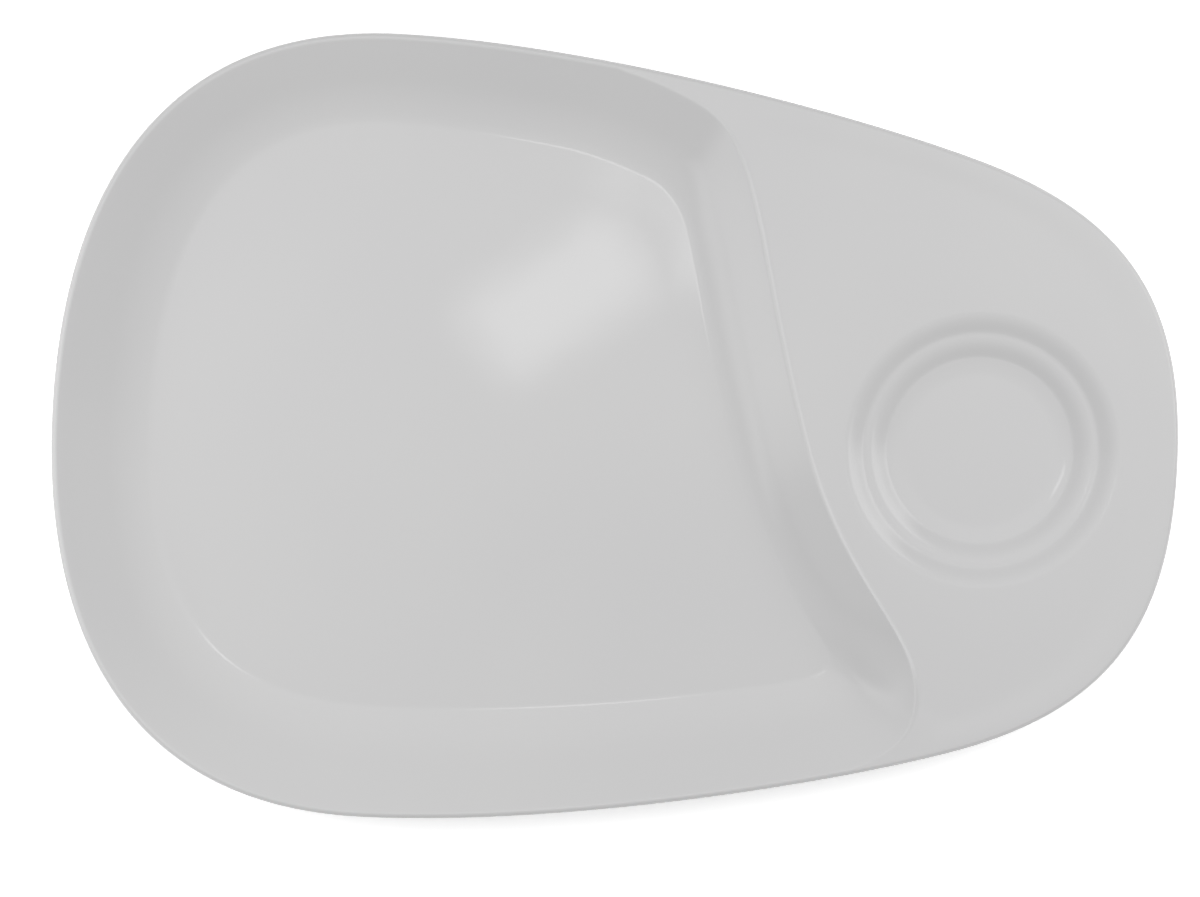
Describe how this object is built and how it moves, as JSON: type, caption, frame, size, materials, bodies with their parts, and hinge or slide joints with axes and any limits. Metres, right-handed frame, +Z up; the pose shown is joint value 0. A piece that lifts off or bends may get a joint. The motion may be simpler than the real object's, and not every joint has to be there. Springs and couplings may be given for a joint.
{
  "type": "snack plate",
  "caption": "Egg-shaped white porcelain snack plate with a sunken food well, a curved dividing ridge and a raised deck with a stepped round rest for a cup.",
  "frame": {"origin": "on the table, under the middle of the plate's length and width", "axes": "+X along the outline's line of symmetry from the broad end to the cup end, +Y across the plate, +Z up"},
  "size_m": [0.3, 0.2088, 0.021],
  "materials": {
    "biscuit": "fired porcelain body, matt",
    "bare_foot": "unglazed porcelain, ground flat",
    "glaze": "glossy white glaze"
  },
  "bodies": {
    "root": {"porcelain_body": "biscuit", "foot_ring": "bare_foot", "glaze_coat": "glaze", "base_glaze": "glaze"}
  },
  "joints": []
}
